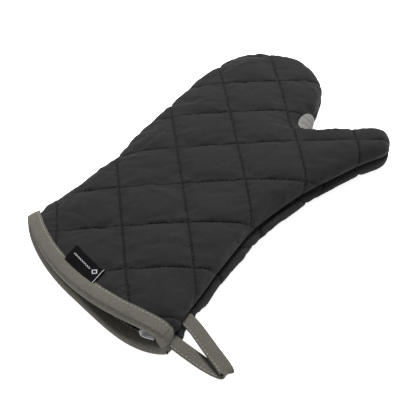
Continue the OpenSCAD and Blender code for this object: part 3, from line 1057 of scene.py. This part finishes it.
def woven_material(name, colour, yarn, twill, depth, rough=0.9, sheen=0.0, gloss=0.15, turn=0.0, fleck=0.5,
                   worn=0.3, quilted=False):
    """Cloth of yarns of one width, with flecks and slow changes of tone. Depth is the weave's relief. Quilted
    adds painted shade along the quilting lines.
    """
    mat, tree, shader = blank_material(name, rough, sheen, gloss)
    flat = cloth_uv(tree)
    turned = add_node(tree, "ShaderNodeMapping", {"Vector": flat, "Rotation": (0, 0, turn)}).outputs[0]
    per_metre = WAVE_SCALE / yarn
    yarns = {"distortion": 0.6, "detail": 1.0, "detail_scale": 0.4}
    warp, weft = (waves(tree, turned, per_metre, way, **yarns) for way in "XY")
    ribs = waves(tree, turned, per_metre / 1.5, "DIAGONAL", distortion=0.4)
    cross = math_node(tree, "MULTIPLY", warp, weft)
    ribs = math_node(tree, "MULTIPLY", ribs, twill)
    weave = math_node(tree, "ADD", math_node(tree, "MULTIPLY", cross, 1 - twill), ribs)
    place = object_place(tree)
    fibre = map_range(tree, noise(tree, place, 650, 3), 0.25, 0.75)
    tone = noise(tree, place, 26, 3)
    flecks = math_node(tree, "MULTIPLY", fibre, fleck)
    share = math_node(tree, "ADD", flecks, math_node(tree, "MULTIPLY", tone, worn))
    share = math_node(tree, "ADD", share, math_node(tree, "MULTIPLY", weave, 1 - fleck - worn), clamp=True)
    paint = tinted(tree, colour, 0.5, 1.5, share)
    # painted shade: the cloth turns almost black within about a millimetre of each quilting line, standing in
    # for the shade in the stitched grooves
    if quilted:
        split = add_node(tree, "ShaderNodeSeparateXYZ", {0: flat}).outputs
        lines = [math_node(tree, "PINGPONG", split[k], QUILT_PITCH / 2) for k in (0, 1)]
        near = math_node(tree, "MINIMUM", *lines)
        outside_painted_groove_shade = map_range(tree, near, 0.55 * MM, 1.2 * MM)
        dark = (*(part * 0.08 for part in colour), 1)
        paint = mix_node(tree, outside_painted_groove_shade, dark, paint)
    height = math_node(tree, "ADD", weave, math_node(tree, "MULTIPLY", fibre, 0.6))
    dress(tree, shader, paint, height, depth, 0.7)
    return mat


def thread_material(name, colour, rough=0.55):
    """Twisted sewing thread."""
    mat, tree, shader = blank_material(name, rough, 0.0, 0.25)
    place = object_place(tree)
    twist = waves(tree, place, 620, "DIAGONAL", distortion=2.0)
    share = math_node(tree, "MULTIPLY", math_node(tree, "ADD", twist, noise(tree, place, 900, 2)), 0.5)
    dress(tree, shader, tinted(tree, colour, 0.6, 1.4, share), twist, 0.1 * MM, 0.6)
    return mat


def wadding_material():
    """Bonded off-white polyester fibre."""
    mat, tree, shader = blank_material("bonded_wadding", 0.95, 0.2, 0.1)
    fibre = noise(tree, object_place(tree), 180, 6, 1.5)
    dress(tree, shader, tinted(tree, (0.62, 0.6, 0.55), 0.8, 1.2, fibre), fibre, 0.6 * MM, 0.8)
    return mat


def cuff_label_material(length, width):
    """Black satin with a plain woven zigzag, a lozenge and a thin line at one end."""
    mat, tree, shader = blank_material("black_woven_label", 0.85, 0.0, 0.06)
    flat = cloth_uv(tree)
    split = add_node(tree, "ShaderNodeSeparateXYZ", {0: flat}).outputs
    middle = 0.60 * width

    def inside(value, limit):
        return math_node(tree, "LESS_THAN", value, limit)

    def away(value, centre):
        return math_node(tree, "ABSOLUTE", math_node(tree, "SUBTRACT", value, centre))

    end_line = inside(away(split[0], 1.6 * MM), 0.28 * MM)
    lozenge = math_node(tree, "ADD", away(split[0], 7.5 * MM), away(split[1], middle))
    ring = math_node(tree, "MULTIPLY", inside(lozenge, 3.2 * MM), inside(2.0 * MM, lozenge))
    zigzag = math_node(tree, "SUBTRACT", math_node(tree, "PINGPONG", split[0], 1.1 * MM), 0.55 * MM)
    line = inside(away(math_node(tree, "SUBTRACT", split[1], zigzag), middle), 0.32 * MM)
    stretch = math_node(tree, "MULTIPLY", inside(12.5 * MM, split[0]), inside(split[0], length - 4 * MM))
    line = math_node(tree, "MULTIPLY", line, stretch)
    mark = math_node(tree, "ADD", math_node(tree, "ADD", end_line, ring), line, clamp=True)
    weft = waves(tree, flat, WAVE_SCALE / (0.3 * MM), "Y")
    pale = tinted(tree, (0.45, 0.46, 0.48), 0.7, 1.1, weft)
    dark = tinted(tree, (0.0028, 0.0028, 0.0032), 0.7, 1.4, weft)
    height = math_node(tree, "ADD", math_node(tree, "MULTIPLY", weft, 0.5), mark)
    dress(tree, shader, mix_node(tree, mark, dark, pale), height, 0.08 * MM, 0.6)
    return mat


def finish_piece(piece, mat, body, slot, *nodes):
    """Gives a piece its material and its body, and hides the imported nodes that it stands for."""
    piece.data.materials.clear()
    piece.data.materials.append(mat)
    if body:
        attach(piece, body)
    if nodes:
        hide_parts(*nodes)


# ---------------------------------------------------------------- camera and light
VIEW_AZIMUTH = math.radians(38.9)
VIEW_HEIGHT = math.radians(37.0)
VIEW_DISTANCE = 957 * MM
LOOK_AT = Vector((12.9 * MM, -54.7 * MM, 28 * MM))


def add_camera():
    data = bpy.data.cameras.new("camera")
    data.sensor_width = 36
    data.lens = 103.7
    data.clip_start = 0.05
    camera = bpy.data.objects.new("camera", data)
    bpy.context.scene.collection.objects.link(camera)
    flat = math.cos(VIEW_HEIGHT) * VIEW_DISTANCE
    height = math.sin(VIEW_HEIGHT) * VIEW_DISTANCE
    offset = Vector((math.sin(VIEW_AZIMUTH) * flat, -math.cos(VIEW_AZIMUTH) * flat, height))
    camera.location = LOOK_AT + offset
    camera.rotation_euler = (-offset).to_track_quat("-Z", "Y").to_euler()
    bpy.context.scene.camera = camera


def add_light(name, place, size, power, target=(0, 0, 0)):
    data = bpy.data.lights.new(name, "AREA")
    data.size = size
    data.energy = power
    light = bpy.data.objects.new(name, data)
    bpy.context.scene.collection.objects.link(light)
    light.location = place
    light.rotation_euler = (Vector(target) - Vector(place)).to_track_quat("-Z", "Y").to_euler()


def add_studio():
    """A bright white table under large soft lights, which leave almost no shadow."""
    scene = bpy.context.scene
    scene.view_settings.view_transform = "Standard"
    scene.world = bpy.data.worlds.new("studio")
    scene.world.use_nodes = True
    sky = scene.world.node_tree.nodes["Background"]
    sky.inputs["Color"].default_value = (1, 1, 1, 1)
    sky.inputs["Strength"].default_value = 0.36
    add_light("key", (-0.3, 0.9, 1.6), 0.7, 52)
    add_light("fill", (-1.2, -0.9, 0.7), 0.9, 5)
    bpy.ops.object.select_all(action="DESELECT")
    bpy.ops.mesh.primitive_plane_add(size=6)
    floor = bpy.context.object
    floor.name = "floor"
    mat, _, shader = blank_material("white_table", 0.9, 0.0, 0.1)
    shader.inputs["Base Color"].default_value = (0.9, 0.9, 0.9, 1)
    shader.inputs["Emission Color"].default_value = (1, 1, 1, 1)
    shader.inputs["Emission Strength"].default_value = 0.85
    floor.data.materials.append(mat)


# ---------------------------------------------------------------- the mitt
add_camera()
add_studio()
CHARCOAL = (0.0133, 0.0133, 0.0139)
# quilted=True paints shade along the shell's quilting lines
charcoal = woven_material("charcoal_cotton_twill", CHARCOAL, 0.45 * MM, 0.6, 0.12 * MM, sheen=0.03,
                          turn=math.pi / 4, quilted=True)
lining_cotton = woven_material("black_lining_cotton", (0.009, 0.009, 0.01), 0.4 * MM, 0.0, 0.1 * MM)
taupe_tape = woven_material("taupe_twill_tape", (0.101, 0.094, 0.081), 0.4 * MM, 0.8, 0.12 * MM, sheen=0.03,
                            fleck=0.35, worn=0.35)
guard_cloth = woven_material("grey_guard_cloth", (0.19, 0.187, 0.182), 0.4 * MM, 0.2, 0.1 * MM, sheen=0.05,
                             fleck=0.3)
care_satin = woven_material("white_care_satin", (0.66, 0.67, 0.70), 0.25 * MM, 0.1, 0.03 * MM, rough=0.5,
                            gloss=0.4, fleck=0.3, worn=0.3)
black_thread = thread_material("black_quilting_thread", (0.006, 0.006, 0.0065))
taupe_thread = thread_material("taupe_sewing_thread", (0.30, 0.285, 0.25))
wadding = wadding_material()

panels = {side: make_panel(side == "upper") for side in ("upper", "lower")}
for side, panel in panels.items():
    finish_piece(panel["shell"], charcoal, "mitt", "shell_fabric", side + "_shell")
    finish_piece(panel["wadding"], wadding, "mitt", "batting", side + "_batting")
    finish_piece(panel["lining"], lining_cotton, "mitt", "lining_fabric", side + "_lining")
    stitches = quilting_stitches(panel, side + "_quilting_stitches")
    finish_piece(stitches, black_thread, "mitt", "black_thread", side + "_quilting_thread")

finish_piece(make_edge_seam(), black_thread, "mitt", "black_thread", "edge_seam_thread")

binding, binding_flat, topstitch = make_binding()
finish_piece(binding, taupe_tape, "mitt", "binding_tape", "cuff_binding")
finish_piece(topstitch, taupe_thread, "mitt", "taupe_thread", "binding_thread")

guard, guard_area, guard_stitches = make_guard()
finish_piece(guard, guard_cloth, "mitt", "web_fabric", "web_guard")
finish_piece(guard_stitches, black_thread, "mitt", "black_thread")

loop, loop_length, loop_stitches = make_loop()
finish_piece(loop, taupe_tape, None, "binding_tape", "hanging_loop")
finish_piece(loop_stitches, taupe_thread, None, "taupe_thread", "loop_thread")
for piece in (loop, loop_stitches):
    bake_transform(piece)

label, label_flat = make_cuff_label(panels["upper"])
finish_piece(label, cuff_label_material(label_flat[1], label_flat[0]), None, "woven_label", "cuff_label")
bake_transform(label)

care, care_flat = make_care_label()
finish_piece(care, care_satin, None, "care_label", "care_label")
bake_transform(care)
